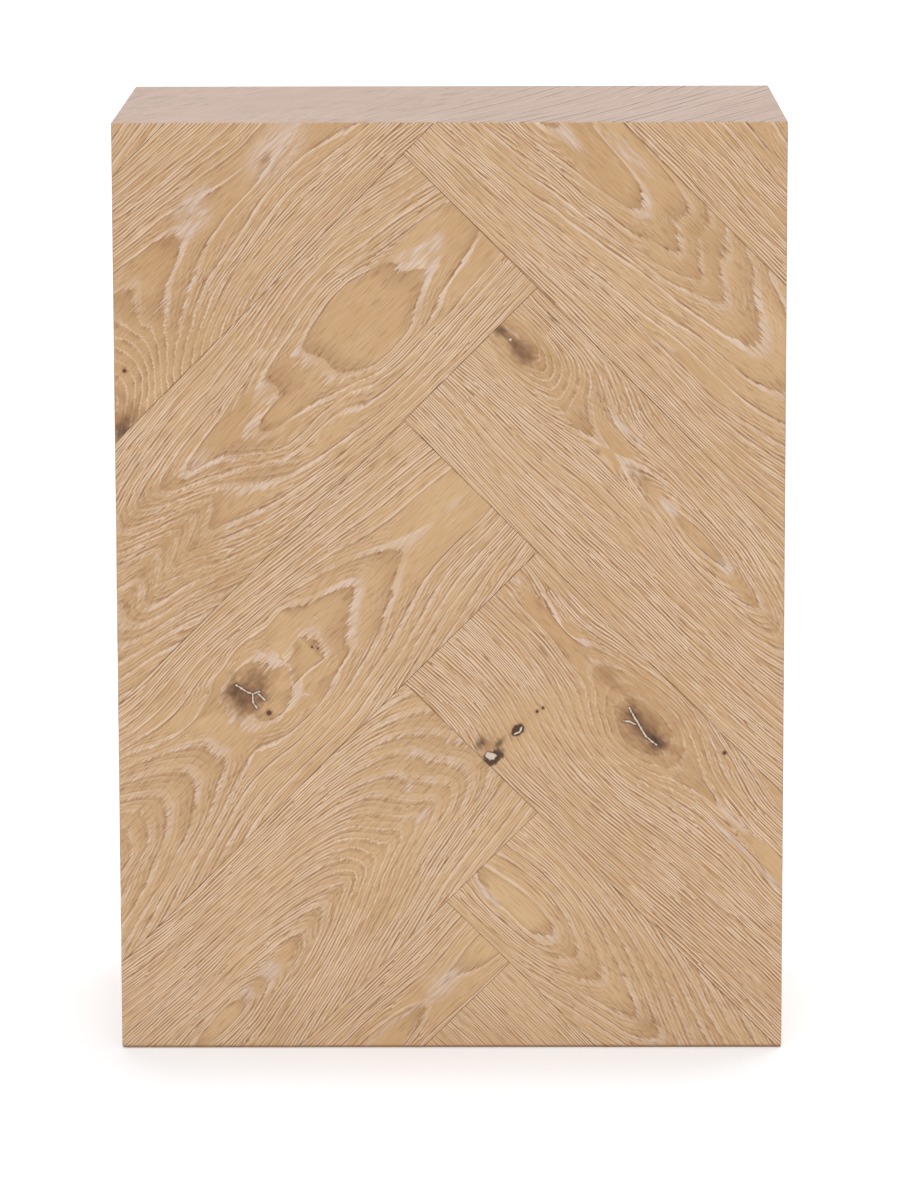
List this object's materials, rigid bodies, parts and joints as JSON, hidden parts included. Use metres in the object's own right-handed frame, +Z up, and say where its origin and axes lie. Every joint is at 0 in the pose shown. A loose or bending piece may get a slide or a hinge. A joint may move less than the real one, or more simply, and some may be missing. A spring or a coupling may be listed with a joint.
{
  "type": "herringbone parquet block",
  "caption": "Upright rectangular block clad in limed oak boards, its front laid in herringbone parquet, to stand on a floor and carry things on its flat top.",
  "frame": {"origin": "middle of the foot, on the floor", "axes": "+Z up along the height, -Y out of the herringbone front, +X to the right seen from the front"},
  "size_m": [0.32, 0.2, 0.45],
  "materials": {
    "oak_planks": "brushed and limed oak, pale pores, matt oil",
    "oak_boards": "brushed and limed oak, pale pores, matt oil",
    "core_panel": "plain unfinished board"
  },
  "bodies": {
    "root": {"left_plank_1": "oak_planks", "left_plank_2": "oak_planks", "left_plank_3": "oak_planks", "left_plank_4": "oak_planks", "left_plank_5": "oak_planks", "left_plank_6": "oak_planks", "right_plank_1": "oak_planks", "right_plank_2": "oak_planks", "right_plank_3": "oak_planks", "right_plank_4": "oak_planks", "right_plank_5": "oak_planks", "right_plank_6": "oak_planks", "top_board": "oak_boards", "left_side_board": "oak_boards", "right_side_board": "oak_boards", "back_board": "oak_boards", "core": "core_panel"}
  },
  "joints": []
}
